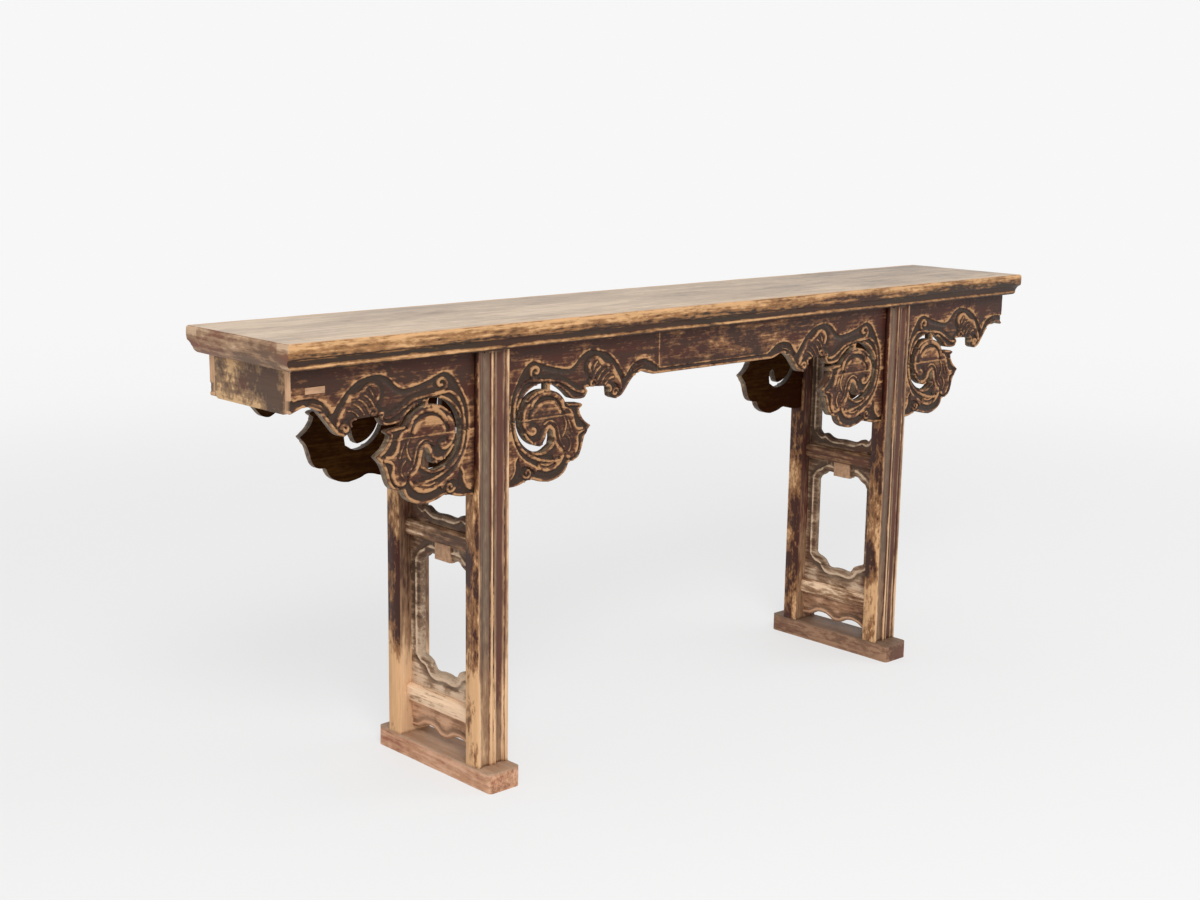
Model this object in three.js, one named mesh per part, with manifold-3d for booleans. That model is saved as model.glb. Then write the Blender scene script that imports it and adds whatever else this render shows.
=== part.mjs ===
// Narrow altar table of lacquered elm, carried by two openwork trestles.
// Millimetres, +Z up, X along the length, the front faces -Y.
// The origin is on the floor under the middle of the top.

import * as THREE from 'three';
import { mergeVertices } from 'three/addons/utils/BufferGeometryUtils.js';
import Module from 'manifold-3d';

const wasm = await Module();
wasm.setup();

// Whole table
const HEIGHT = 850;
const LENGTH = 2020;
const DEPTH = 314;
const CLEARANCE = 0.3;

// Top: two long edge pieces and two end caps round a board on battens
const TOP_THICKNESS = 46;
const PANEL_THICKNESS = 24;
const STILE_WIDTH = 34;
const CAP_WIDTH = 55;
const BATTEN_WIDTH = 45;

// Aprons, end boards and the spandrels under them
const APRON_INSET = 32;
const APRON_THICKNESS = 18;
const APRON_END_INSET = 24;
const CARVING_TO_JOINT = 14;
const CARVING_TO_END = 16;
const APRON_EDGE_DROP = 83;
const APRON_END_DROP = 72;
const END_BOARD_DROP = 75;
const END_BOARD_THICKNESS = 18;
const END_BOARD_CORNER = 8;
const SEAM_DROP = 137;
const SPANDREL_DROP = 256;

// Trestles
const LEG_WIDTH = 72;
const LEG_DEPTH = 38;
const LEG_PROUD = 12;
const LEG_CHEEK_TOP = 3;
const LEG_ARRIS = 2;
const FOOT_LENGTH = 340;
const FOOT_WIDTH = 70;
const FOOT_HEIGHT = 39;
const FOOT_CORNER = 7;
const RAIL_THICKNESS = 40;
const RAIL_ROUNDING = 9;
const LOWER_RAIL_Z = 104;
const LOWER_RAIL_HEIGHT = 34;
const UPPER_RAIL_Z = 430;
const UPPER_RAIL_HEIGHT = 32;
const HEAD_RAIL_HEIGHT = 34;
const LINING_THICKNESS = 18;
const LOWER_LINING_STILE = 28;
const UPPER_LINING_STILE = 21;

// Tenons
const LEG_TENON_WIDTH = 40;
const LEG_TENON_THICKNESS = 7;
const LEG_TENON_HEIGHT = 18;
const LEG_TENON_SHIFT = 1;
const FOOT_TENON_WIDTH = 40;
const FOOT_TENON_THICKNESS = 16;
const FOOT_TENON_HEIGHT = 26;
const RAIL_TENON_WIDTH = 14;
const RAIL_TENON_HEIGHT = 20;
const RAIL_TENON_LENGTH = 22;
const TENON_ROOT = 5;
const MORTISE_BREAK = 1;

// Moulded long edge of the top: inset from the outer face, drop below the surface
const EDGE_MOULDING = [
  [2.5, 0], [0, 2.5], [0, 23], [1.5, 25], [5, 26.5], [8.5, 30],
  [10.5, 35], [11, 38.5], [9.5, 39.5], [9, 42], [10, 44.5], [13, 46],
];
// Rounded nose at both ends of the top
const END_NOSE = [
  [3, 0], [0.8, 3], [0, 9], [0, 17], [1.2, 25], [3.6, 33], [7.5, 40], [13, 46],
];

// Reeds down the face of a leg of REEDED_WIDTH: distance from its middle, depth below its face
const REEDED_WIDTH = 72;
const LEG_REEDS = [
  [0, 2.6], [1.2, 1.2], [4, 0], [6.8, 1.2], [7.6, 3.2], [9.5, 4.2],
  [15, 5.4], [20.5, 4.8], [22.5, 3.4], [25.3, 3.2], [26, 1.4], [28.5, 0.2],
  [31.5, 0], [34.4, 0.8],
];

// Carving beside a leg: distance from the middle of the leg, drop below the top
const DISC_U = 125;
const DISC_RADIUS = 52;
const RING_RADIUS = 63.5;
const STRUT_LEFT = 9;
const DISC_TO_HOOK = [
  [216.5, 137], [214, 129.3], [221, 125.3], [222.6, 122], [218, 118.7], [205, 117.4],
  [191.5, 116], [183.6, 117], [179.7, 113.5], [173, 103], [162.6, 94], [152, 90],
  [142, 87], [142, 77], [152, 78], [162.6, 83], [173, 90], [182, 96.4],
  [191.5, 106], [197, 109], [205, 110.3], [219, 111.4], [227, 110.3], [231, 106],
  [235.7, 97.7], [231, 94], [228, 92], [233, 91], [244, 91], [257, 92],
  [273, 92.4], [285, 94], [291, 98], [291, 104], [293, 114], [300, 118], [307, 120],
];
const HOOK_TO_MIDDLE = [
  [318, 117.4], [326, 112], [333.6, 103], [344, 90], [354.7, 80.6], [362.6, 76],
  [376, 74], [393, 79], [405, APRON_EDGE_DROP],
];
const HOOK_TO_END = [
  [318, 117], [325, 111], [333, 101], [345, 86], [358, 71], [370, 64],
  [383, 62.5], [393, 66],
];
const HOOKED_SLOT_END = [
  [133, 198], [141, 193], [147.5, 189], [150, 174], [148, 162], [140, 157],
  [133, 164], [132, 172], [127, 184],
];
const MEDALLION = [
  [216.5, 137], [221, 145], [228.5, 153], [237.6, 159.5], [243.6, 163], [240, 167.5],
  [233.5, 174], [228.5, 182], [224.5, 192.5], [221, 205.5], [216.5, 216], [210, 222.7],
  [202, 225.3], [191.5, 225.3], [188, 228], [185, 237], [178.5, 245], [168, 251.5],
  [155, 256], [141.5, 257.7], [126, 255.5], [113, 252.5], [101, 247], [86, 249],
  [73, 253.5], [60, SPANDREL_DROP],
];

// Cusped edges inside a trestle: share of the half width, distance from the rail
const LINING_TOP_CUSPS = [
  [0, 34.5], [0.28, 34], [0.33, 28], [0.44, 26], [0.61, 26], [0.69, 31],
  [0.78, 36], [0.92, 40], [1, 50],
];
const LINING_BOTTOM_CUSPS = [
  [0, 41], [0.12, 41], [0.33, 38], [0.47, 40], [0.56, 48], [0.61, 54],
  [0.78, 60], [0.92, 62], [1, 68],
];
const UPPER_STRIP_CUSPS = [
  [0, 22], [0.35, 20], [0.5, 23], [0.62, 29], [0.72, 30], [0.82, 26],
  [0.9, 29], [1, 40],
];
const FOOT_APRON_CUSPS = [
  [0, 52], [0.12, 51], [0.2, 46], [0.3, 41], [0.45, 39], [0.6, 41],
  [0.72, 48], [0.8, 52], [1, 54],
];

// Places that follow from the sizes above
const underside = HEIGHT - TOP_THICKNESS;
const panelUnderside = HEIGHT - PANEL_THICKNESS;
const apronFace = DEPTH / 2 - APRON_INSET;
const apronBack = apronFace - APRON_THICKNESS;
const apronEnd = LENGTH / 2 - APRON_END_INSET;
const trestleX = apronEnd - CARVING_TO_END - HOOK_TO_END.at(-1)[0];
const apronJointX = HOOK_TO_MIDDLE.at(-1)[0] + CARVING_TO_JOINT - trestleX;
const legFace = apronFace + LEG_PROUD;
const legBack = legFace - LEG_DEPTH;
const stileBack = DEPTH / 2 - STILE_WIDTH;
const capBack = LENGTH / 2 - CAP_WIDTH;
const slotBottom = underside - SPANDREL_DROP;
const lowerRailTop = LOWER_RAIL_Z + LOWER_RAIL_HEIGHT;
const upperRailTop = UPPER_RAIL_Z + UPPER_RAIL_HEIGHT;
const headRailBottom = underside - HEAD_RAIL_HEIGHT;

// Materials
const wood = (color, roughness) => new THREE.MeshStandardMaterial({ color, roughness, metalness: 0 });
const topWood = wood('#b9a087', 0.6);
const edgeWood = wood('#c89b69', 0.5);
const capWood = wood('#917364', 0.6);
const lacquer = wood('#3f2c25', 0.45);
const legWood = wood('#5e4333', 0.5);
const innerWood = wood('#28160e', 0.75);
const endBoardWood = wood('#6a5540', 0.6);
const footWood = wood('#b07f60', 0.65);
const liningWood = wood('#4a352b', 0.5);

// Solid tools
function solidOf(geometry) {
  const bare = geometry.clone();
  bare.deleteAttribute('normal');
  bare.deleteAttribute('uv');
  const merged = mergeVertices(bare, 1e-4);
  const vertProperties = new Float32Array(merged.attributes.position.array);
  const triVerts = new Uint32Array(merged.index.array);
  return new wasm.Manifold(new wasm.Mesh({ numProp: 3, vertProperties, triVerts }));
}

function geometryOf(solid) {
  const mesh = solid.getMesh();
  const geometry = new THREE.BufferGeometry();
  geometry.setAttribute('position', new THREE.BufferAttribute(mesh.vertProperties, 3));
  geometry.setIndex(new THREE.BufferAttribute(mesh.triVerts, 1));
  const flat = geometry.toNonIndexed();
  flat.computeVertexNormals();
  return flat;
}

function block(low, high) {
  const size = high.map((value, axis) => value - low[axis]);
  const geometry = new THREE.BoxGeometry(...size);
  geometry.translate(...high.map((value, axis) => (value + low[axis]) / 2));
  return geometry;
}

function grownBlock(low, high) {
  return block(low.map((value) => value - CLEARANCE), high.map((value) => value + CLEARANCE));
}

function prism(points, depth) {
  const shape = new THREE.Shape(points.map(([a, b]) => new THREE.Vector2(a, b)));
  return new THREE.ExtrudeGeometry(shape, { depth, bevelEnabled: false, curveSegments: 1 });
}

// An outline in X and Z, extruded along Y from y0 to y1
function boardXZ(points, y0, y1) {
  const geometry = prism(points, y1 - y0);
  geometry.rotateX(Math.PI / 2);
  geometry.translate(0, y1, 0);
  return geometry;
}

// An outline in Y and Z, extruded along X from x0 to x1
function boardYZ(points, x0, x1) {
  const geometry = prism(points, x1 - x0);
  const xAxis = new THREE.Vector3(1, 0, 0);
  const yAxis = new THREE.Vector3(0, 1, 0);
  const zAxis = new THREE.Vector3(0, 0, 1);
  geometry.applyMatrix4(new THREE.Matrix4().makeBasis(yAxis, zAxis, xAxis));
  geometry.translate(x0, 0, 0);
  return geometry;
}

function cut(geometry, ...tools) {
  return geometryOf(tools.reduce((solid, tool) => solid.subtract(solidOf(tool)), solidOf(geometry)));
}

function join(geometry, ...others) {
  return geometryOf(others.reduce((solid, other) => solid.add(solidOf(other)), solidOf(geometry)));
}

function common(geometry, ...others) {
  return geometryOf(others.reduce((solid, other) => solid.intersect(solidOf(other)), solidOf(geometry)));
}

function arc(u, drop, radius, fromDegrees, toDegrees, steps) {
  return Array.from({ length: steps + 1 }, (_, step) => {
    const angle = THREE.MathUtils.degToRad(fromDegrees + (toDegrees - fromDegrees) * step / steps);
    return [u + radius * Math.cos(angle), drop - radius * Math.sin(angle)];
  });
}

function roundedRectangle(halfA, halfB, radius) {
  const corners = [[1, 1, 0], [-1, 1, 90], [-1, -1, 180], [1, -1, 270]];
  return corners.flatMap(([signA, signB, start]) => [0, 30, 60, 90].map((turn) => {
    const angle = THREE.MathUtils.degToRad(start + turn);
    const a = signA * (halfA - radius) + radius * Math.cos(angle);
    const b = signB * (halfB - radius) + radius * Math.sin(angle);
    return [a, b];
  }));
}

function mirrored(points) {
  return [...points].reverse().filter(([a]) => a !== 0).map(([a, b]) => [-a, b]);
}

function add(group, name, geometry, material) {
  const mesh = new THREE.Mesh(geometry, material);
  mesh.name = name;
  group.add(mesh);
  return mesh;
}

const table = new THREE.Group();

// The envelope gives the top its moulded edges
const longProfile = [
  ...EDGE_MOULDING.map(([inset, drop]) => [DEPTH / 2 - inset, HEIGHT - drop]),
  ...[...EDGE_MOULDING].reverse().map(([inset, drop]) => [inset - DEPTH / 2, HEIGHT - drop]),
];
const endProfile = [
  ...END_NOSE.map(([inset, drop]) => [LENGTH / 2 - inset, HEIGHT - drop]),
  ...[...END_NOSE].reverse().map(([inset, drop]) => [inset - LENGTH / 2, HEIGHT - drop]),
];
const longEnvelope = boardYZ(longProfile, -LENGTH / 2, LENGTH / 2);
const endEnvelope = boardXZ(endProfile, -DEPTH / 2, DEPTH / 2);

// Tenon on the outer cheek of a leg, in the frame of a front leg's trestle
const legTenonY = -(apronFace + (LEG_PROUD + CLEARANCE) / 2 + LEG_TENON_SHIFT);
const legTenonLow = [-LEG_TENON_WIDTH / 2, legTenonY - LEG_TENON_THICKNESS / 2, underside];
const legTenonHigh = [LEG_TENON_WIDTH / 2, legTenonY + LEG_TENON_THICKNESS / 2, underside + LEG_TENON_HEIGHT];

function shifted(geometry, x) {
  return geometry.clone().translate(x, 0, 0);
}

function frontStile() {
  const low = [-LENGTH / 2, -DEPTH / 2, underside];
  const high = [LENGTH / 2, -stileBack, HEIGHT];
  const moulded = common(block(low, high), longEnvelope, endEnvelope);
  const mortise = grownBlock(legTenonLow, legTenonHigh);
  return cut(moulded, shifted(mortise, -trestleX), shifted(mortise, trestleX));
}

add(table, 'top_front_stile', frontStile(), edgeWood);
add(table, 'top_back_stile', frontStile().rotateZ(Math.PI), edgeWood);

for (const [side, sign] of [['left', -1], ['right', 1]]) {
  const inner = Math.min(sign * capBack, sign * LENGTH / 2);
  const outer = Math.max(sign * capBack, sign * LENGTH / 2);
  const raw = block([inner, -stileBack, underside], [outer, stileBack, HEIGHT]);
  add(table, `top_${side}_cap`, common(raw, endEnvelope), capWood);
}

add(table, 'top_panel', block([-capBack, -stileBack, panelUnderside], [capBack, stileBack, HEIGHT]), topWood);

const battens = [
  ['left_trestle', -trestleX],
  ['left', -trestleX / 2],
  ['middle', 0],
  ['right', trestleX / 2],
  ['right_trestle', trestleX],
];
for (const [name, x] of battens) {
  const low = [x - BATTEN_WIDTH / 2, -stileBack, underside];
  const high = [x + BATTEN_WIDTH / 2, stileBack, panelUnderside];
  add(table, `batten_${name}`, block(low, high), innerWood);
}

// Carved lower edge of an apron beside one leg, from the leg outwards
const strutLeftAngle = THREE.MathUtils.radToDeg(Math.acos(STRUT_LEFT / RING_RADIUS));
const strutDiscAngle = THREE.MathUtils.radToDeg(Math.acos(STRUT_LEFT / DISC_RADIUS));
const carvedEdge = [
  ...arc(DISC_U, SEAM_DROP, RING_RADIUS, 180, strutLeftAngle, 12),
  ...arc(DISC_U, SEAM_DROP, DISC_RADIUS, strutDiscAngle, 180, 12),
  ...DISC_TO_HOOK,
];
const inboardEdge = [...carvedEdge, ...HOOK_TO_MIDDLE];
const outboardEdge = [...carvedEdge, ...HOOK_TO_END, [apronEnd - trestleX, APRON_END_DROP]];

function legEdge(sign) {
  const outboard = outboardEdge.map(([u, drop]) => [sign * (trestleX + u), drop]);
  const inboard = inboardEdge.map(([u, drop]) => [sign * (trestleX - u), drop]);
  return sign < 0 ? [...outboard.reverse(), ...inboard] : [...inboard.reverse(), ...outboard];
}

function apronBoard(x0, x1, signs, y0, y1) {
  const edge = signs.flatMap((sign) => legEdge(sign));
  const start = x0 > -apronEnd ? [[x0, APRON_EDGE_DROP]] : [];
  const end = x1 < apronEnd ? [[x1, APRON_EDGE_DROP]] : [];
  const outline = [...start, ...edge, ...end, [x1, 0], [x0, 0]];
  return boardXZ(outline.map(([x, drop]) => [x, underside - drop]), y0, y1);
}

const jointLeft = apronJointX - CLEARANCE / 2;
const jointRight = apronJointX + CLEARANCE / 2;
add(table, 'apron_front_left', apronBoard(-apronEnd, jointLeft, [-1], -apronFace, -apronBack), lacquer);
add(table, 'apron_front_right', apronBoard(jointRight, apronEnd, [1], -apronFace, -apronBack), lacquer);
add(table, 'apron_back', apronBoard(-apronEnd, apronEnd, [-1, 1], apronBack, apronFace), lacquer);

// Spandrel: one board through the leg's slot, with a carved wing on each side
const spandrelHalf = [
  [0, SEAM_DROP],
  ...arc(DISC_U, SEAM_DROP, RING_RADIUS, 180, 270, 12),
  ...HOOKED_SLOT_END,
  ...arc(DISC_U, SEAM_DROP, DISC_RADIUS, 266, 180, 12),
  ...MEDALLION,
  [0, SPANDREL_DROP],
];
const spandrelOutline = [...spandrelHalf, ...mirrored(spandrelHalf)];

function spandrel(x, y0, y1) {
  return boardXZ(spandrelOutline.map(([u, drop]) => [x + u, underside - drop]), y0, y1);
}

for (const [side, x] of [['left', -trestleX], ['right', trestleX]]) {
  add(table, `spandrel_front_${side}`, spandrel(x, -apronFace, -apronBack), lacquer);
  add(table, `spandrel_back_${side}`, spandrel(x, apronBack, apronFace), lacquer);
}

// End boards close the box between the aprons
const endBoardOutline = [
  [-apronBack, underside],
  [-apronBack, underside - END_BOARD_DROP + END_BOARD_CORNER],
  [-apronBack + END_BOARD_CORNER * 0.3, underside - END_BOARD_DROP + END_BOARD_CORNER * 0.3],
  [-apronBack + END_BOARD_CORNER, underside - END_BOARD_DROP],
  [apronBack - END_BOARD_CORNER, underside - END_BOARD_DROP],
  [apronBack - END_BOARD_CORNER * 0.3, underside - END_BOARD_DROP + END_BOARD_CORNER * 0.3],
  [apronBack, underside - END_BOARD_DROP + END_BOARD_CORNER],
  [apronBack, underside],
];
const endBoardBack = apronEnd - END_BOARD_THICKNESS;
add(table, 'end_board_left', boardYZ(endBoardOutline, -apronEnd, -endBoardBack), endBoardWood);
add(table, 'end_board_right', boardYZ(endBoardOutline, endBoardBack, apronEnd), endBoardWood);

// One trestle in its own frame, X = 0 in the middle of its legs
function leg() {
  const face = LEG_REEDS.map(([x, depth]) => [x * LEG_WIDTH / REEDED_WIDTH, -legFace + depth]);
  const section = [
    ...mirrored(face),
    ...face,
    [LEG_WIDTH / 2, -legFace + LEG_CHEEK_TOP],
    [LEG_WIDTH / 2, -legBack - LEG_ARRIS],
    [LEG_WIDTH / 2 - LEG_ARRIS, -legBack],
    [-LEG_WIDTH / 2 + LEG_ARRIS, -legBack],
    [-LEG_WIDTH / 2, -legBack - LEG_ARRIS],
    [-LEG_WIDTH / 2, -legFace + LEG_CHEEK_TOP],
  ];
  const shaft = prism(section, underside - FOOT_HEIGHT).translate(0, 0, FOOT_HEIGHT);
  const reach = LEG_WIDTH;
  const slot = block(
    [-reach, -apronFace - CLEARANCE, slotBottom - CLEARANCE],
    [reach, -apronBack + CLEARANCE, underside + TOP_THICKNESS],
  );
  const railMiddles = [LOWER_RAIL_Z + LOWER_RAIL_HEIGHT / 2, UPPER_RAIL_Z + UPPER_RAIL_HEIGHT / 2];
  const mortises = railMiddles.map((z) => grownBlock(
    [-RAIL_TENON_WIDTH / 2, -legBack - RAIL_TENON_LENGTH, z - RAIL_TENON_HEIGHT / 2],
    [RAIL_TENON_WIDTH / 2, -legBack + MORTISE_BREAK, z + RAIL_TENON_HEIGHT / 2],
  ));
  const topTenon = block([legTenonLow[0], legTenonLow[1], underside - TENON_ROOT], legTenonHigh);
  return join(cut(shaft, slot, ...mortises), topTenon, footTenon(FOOT_HEIGHT + TENON_ROOT));
}

function footTenonCorners(top) {
  const middle = -(legFace + legBack) / 2;
  return [
    [-FOOT_TENON_WIDTH / 2, middle - FOOT_TENON_THICKNESS / 2, FOOT_HEIGHT - FOOT_TENON_HEIGHT],
    [FOOT_TENON_WIDTH / 2, middle + FOOT_TENON_THICKNESS / 2, top],
  ];
}

function footTenon(top) {
  return block(...footTenonCorners(top));
}

function foot() {
  const plan = roundedRectangle(FOOT_WIDTH / 2, FOOT_LENGTH / 2, FOOT_CORNER);
  const body = prism(plan, FOOT_HEIGHT);
  const mortise = grownBlock(...footTenonCorners(FOOT_HEIGHT + MORTISE_BREAK));
  return cut(body, mortise, mortise.clone().rotateZ(Math.PI));
}

function rail(z0, height) {
  const section = roundedRectangle(RAIL_THICKNESS / 2, height / 2, RAIL_ROUNDING);
  const middle = z0 + height / 2;
  const body = boardXZ(section.map(([x, z]) => [x, z + middle]), -legBack, legBack);
  const reach = legBack + RAIL_TENON_LENGTH;
  const tenon = block(
    [-RAIL_TENON_WIDTH / 2, -reach, middle - RAIL_TENON_HEIGHT / 2],
    [RAIL_TENON_WIDTH / 2, reach, middle + RAIL_TENON_HEIGHT / 2],
  );
  return join(body, tenon);
}

function cusped(cusps, half, place) {
  const right = cusps.map(([share, offset]) => [share * half, place(offset)]);
  return [...mirrored(right), ...right];
}

function lining(points) {
  return boardYZ(points, -LINING_THICKNESS / 2, LINING_THICKNESS / 2);
}

function stileBoard(side, width, z0, z1) {
  const y0 = side < 0 ? -legBack : legBack - width;
  const half = LINING_THICKNESS / 2;
  return block([-half, y0, z0], [half, y0 + width, z1]);
}

const lowerHalf = legBack - LOWER_LINING_STILE;
const upperHalf = legBack - UPPER_LINING_STILE;
const liningTopEnd = UPPER_RAIL_Z - LINING_TOP_CUSPS.at(-1)[1];
const liningBottomEnd = lowerRailTop + LINING_BOTTOM_CUSPS.at(-1)[1];
const upperStripEnd = upperRailTop + UPPER_STRIP_CUSPS.at(-1)[1];

function trestle(side) {
  const group = new THREE.Group();
  add(group, `${side}_leg_front`, leg(), legWood);
  add(group, `${side}_leg_back`, leg().rotateZ(Math.PI), legWood);
  add(group, `${side}_foot`, foot(), footWood);
  add(group, `${side}_rail_lower`, rail(LOWER_RAIL_Z, LOWER_RAIL_HEIGHT), liningWood);
  add(group, `${side}_rail_upper`, rail(UPPER_RAIL_Z, UPPER_RAIL_HEIGHT), liningWood);
  const headHalf = RAIL_THICKNESS / 2;
  const headRail = block([-headHalf, -legBack, headRailBottom], [headHalf, legBack, underside]);
  add(group, `${side}_rail_head`, headRail, innerWood);

  const topBoard = [
    ...cusped(LINING_TOP_CUSPS, lowerHalf, (offset) => UPPER_RAIL_Z - offset),
    [legBack, liningTopEnd],
    [legBack, UPPER_RAIL_Z],
    [-legBack, UPPER_RAIL_Z],
    [-legBack, liningTopEnd],
  ];
  const bottomBoard = [
    ...cusped(LINING_BOTTOM_CUSPS, lowerHalf, (offset) => lowerRailTop + offset),
    [legBack, liningBottomEnd],
    [legBack, lowerRailTop],
    [-legBack, lowerRailTop],
    [-legBack, liningBottomEnd],
  ];
  const upperStrip = [
    ...cusped(UPPER_STRIP_CUSPS, upperHalf, (offset) => upperRailTop + offset),
    [legBack, upperStripEnd],
    [legBack, upperRailTop],
    [-legBack, upperRailTop],
    [-legBack, upperStripEnd],
  ];
  const footApron = [
    ...cusped(FOOT_APRON_CUSPS, legBack, (offset) => LOWER_RAIL_Z - offset),
    [legBack, LOWER_RAIL_Z],
    [-legBack, LOWER_RAIL_Z],
  ];
  add(group, `${side}_lining_top`, lining(topBoard), liningWood);
  add(group, `${side}_lining_bottom`, lining(bottomBoard), liningWood);
  add(group, `${side}_upper_lining_bottom`, lining(upperStrip), liningWood);
  add(group, `${side}_foot_apron`, lining(footApron), liningWood);
  for (const [name, sign] of [['front', -1], ['back', 1]]) {
    const lowerStile = stileBoard(sign, LOWER_LINING_STILE, liningBottomEnd, liningTopEnd);
    const upperStile = stileBoard(sign, UPPER_LINING_STILE, upperStripEnd, headRailBottom);
    add(group, `${side}_lining_${name}`, lowerStile, liningWood);
    add(group, `${side}_upper_lining_${name}`, upperStile, liningWood);
  }
  return group;
}

const leftTrestle = trestle('left');
leftTrestle.position.x = -trestleX;
table.add(leftTrestle);

const rightTrestle = trestle('right');
rightTrestle.position.x = trestleX;
table.add(rightTrestle);

export default table;
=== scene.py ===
import math
from collections import namedtuple

import bmesh
import bpy
import numpy as np
from mathutils import Matrix, Vector, noise
from mathutils.geometry import delaunay_2d_cdt
from mathutils.kdtree import KDTree


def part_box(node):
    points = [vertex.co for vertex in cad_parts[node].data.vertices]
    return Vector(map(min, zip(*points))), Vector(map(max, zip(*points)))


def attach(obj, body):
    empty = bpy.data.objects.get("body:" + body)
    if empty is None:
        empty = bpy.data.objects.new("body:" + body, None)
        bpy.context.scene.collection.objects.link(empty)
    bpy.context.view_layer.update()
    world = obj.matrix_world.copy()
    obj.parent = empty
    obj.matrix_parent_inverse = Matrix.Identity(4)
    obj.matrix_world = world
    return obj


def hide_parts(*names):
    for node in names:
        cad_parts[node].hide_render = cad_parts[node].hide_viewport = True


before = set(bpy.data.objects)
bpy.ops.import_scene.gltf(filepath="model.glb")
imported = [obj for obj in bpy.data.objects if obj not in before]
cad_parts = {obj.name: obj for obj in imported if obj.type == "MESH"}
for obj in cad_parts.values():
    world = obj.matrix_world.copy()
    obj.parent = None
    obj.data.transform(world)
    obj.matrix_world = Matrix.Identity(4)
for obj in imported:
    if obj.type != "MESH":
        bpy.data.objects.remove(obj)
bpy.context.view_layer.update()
MM = 0.001

# Camera, at the photograph's viewing angle
CAMERA_PLACE = (-2.4620, -2.4164, 1.2186)
CAMERA_YAW = math.radians(43.194)
CAMERA_PITCH = math.radians(11.298)
CAMERA_ROLL = math.radians(0.855)
CAMERA_LENS = 51.294

Corner = namedtuple("Corner", "x y z")


def box_mm(node):
    """The lowest and the highest corner of a solid, in millimetres."""
    return [Corner(*(value / MM for value in corner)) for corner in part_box(node)]


# Places taken from the solids, in millimetres
leg_low, leg_high = box_mm("right_leg_front")
apron_low, apron_high = box_mm("apron_front_right")
TRESTLE_X = (leg_low.x + leg_high.x) / 2
LEG_HALF = (leg_high.x - leg_low.x) / 2
LEG_FACE = -leg_low.y
UNDERSIDE = apron_high.z
APRON_END = apron_high.x
APRON_JOINT = apron_low.x
APRON_FACE = -apron_low.y
SEAM = box_mm("spandrel_front_right")[1].z
TABLE_TOP = box_mm("top_panel")[1].z
FOOT_TOP = box_mm("left_foot")[1].z
STILE_FRONT = -box_mm("top_front_stile")[0].y

# Carved crests, seen from the front: distance from the middle of the leg, drop below the
# underside of the top
RING_CREST = [
    (165, 220), (149, 220), (128, 216), (107, 209.5), (86, 198), (70.5, 184.5), (60, 163.5),
    (55.5, 137), (57, 111), (62, 92), (72, 76), (86, 66), (97, 66), (118, 67.5),
    (139, 69), (160, 71.5), (176, 77), (197, 90), (212.5, 98), (224, 98),
]
CLOUD_CREST = [
    (112, 228), (99, 220), (85, 213), (73, 203), (60, 184.5), (51, 163.5), (45.5, 132), (47, 106),
    (51, 87), (60, 70), (70, 53), (81, 38), (93, 30), (106, 29), (121, 35), (139, 42),
    (160, 47), (181, 51), (191.5, 50), (202, 44), (212.5, 33), (223, 25.5), (233.5, 21.5),
]
CURL_CREST = [
    (122, 67.5), (107, 65.5), (97, 60), (94.5, 51), (99, 43), (108, 41), (114, 47), (111.5, 53.5),
    (105, 53),
]
LEAF_TOP = [
    (233.5, 21.5), (246, 20.5), (260, 23), (278, 27), (294, 36), (307, 48), (320.5, 63.5), (331, 77),
]
MIDDLE_WAVE = [
    (331, 77), (337, 69), (347, 58), (360, 50.5), (381, 48), (396, 54), (412, 64), (424, 71),
]
END_WAVE = [(331, 77), (337, 66), (346, 57), (360, 50), (374, 48), (388, 48), (404, 50)]
SLOT_CREST = [
    (107, 181), (118, 180), (124, 176), (129, 167), (133, 158), (140, 152.5), (147, 156),
    (152, 165), (154, 178), (158, 189), (165, 197), (172, 203),
]
DISC_SPIRAL = [
    (92, 109), (83, 117), (79, 128), (79, 142), (83, 153), (91, 161), (100, 165), (107, 162),
    (107, 155), (100, 153),
]
DISC_CROWN = [
    (97, 115), (103, 104), (116, 96), (134, 93), (151, 96), (164, 103), (172, 113), (176, 126),
]
DISC_PLATE = [(99, 131), (105, 120), (117, 111), (132, 107), (148, 109), (159, 116), (166, 129)]
EAR_CREST = [(180, 124), (190, 127), (196, 135), (199, 147), (202, 158), (210, 166), (222, 166)]
LOBE_CREST = [
    (226, 171), (214, 174), (208, 182), (211, 193), (209, 205), (203, 214), (192, 219), (184, 214),
]
LOWER_CREST = [(112, 228), (124, 233), (139, 236), (155, 233), (167, 225), (175, 213)]
LEAF_CREST = [
    (240, 64), (236, 53), (241, 42), (250, 36), (260, 37), (267, 44), (276, 50), (286, 54),
    (295, 53), (300, 61), (305, 70), (312, 80), (318, 90), (320, 100),
]
CORNER_CREST = [(44, 244), (54, 236), (60, 224), (58, 212), (64, 203)]
VEINS = [
    [(176, 140), (182, 152), (180, 165), (173, 176)],
    [(184, 176), (192, 184), (194, 196), (188, 206)],
    [(128, 149), (138, 143), (150, 145), (160, 155), (164, 172), (168, 188), (178, 197)],
    [(186, 146), (192, 158), (196, 170)],
    [(246, 82), (250, 70), (258, 60), (266, 55)],
    [(257, 86), (262, 74), (270, 65), (278, 61)],
    [(268, 87), (274, 77), (282, 70), (288, 68)],
    [(279, 89), (286, 82), (293, 78), (299, 78)],
    [(248, 60), (252, 50), (258, 45)],
    [(122, 222), (134, 226), (148, 223), (160, 216)],
    [(352, 72), (364, 66), (376, 64)],
]
WAVE_END = MIDDLE_WAVE[-1][0]
STRAIGHT_LINE_DROP = 71

# The side of a crest that is cut down, going along its points: right hand, left hand or both
RIGHT, LEFT, BOTH = 1, -1, 0

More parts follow.
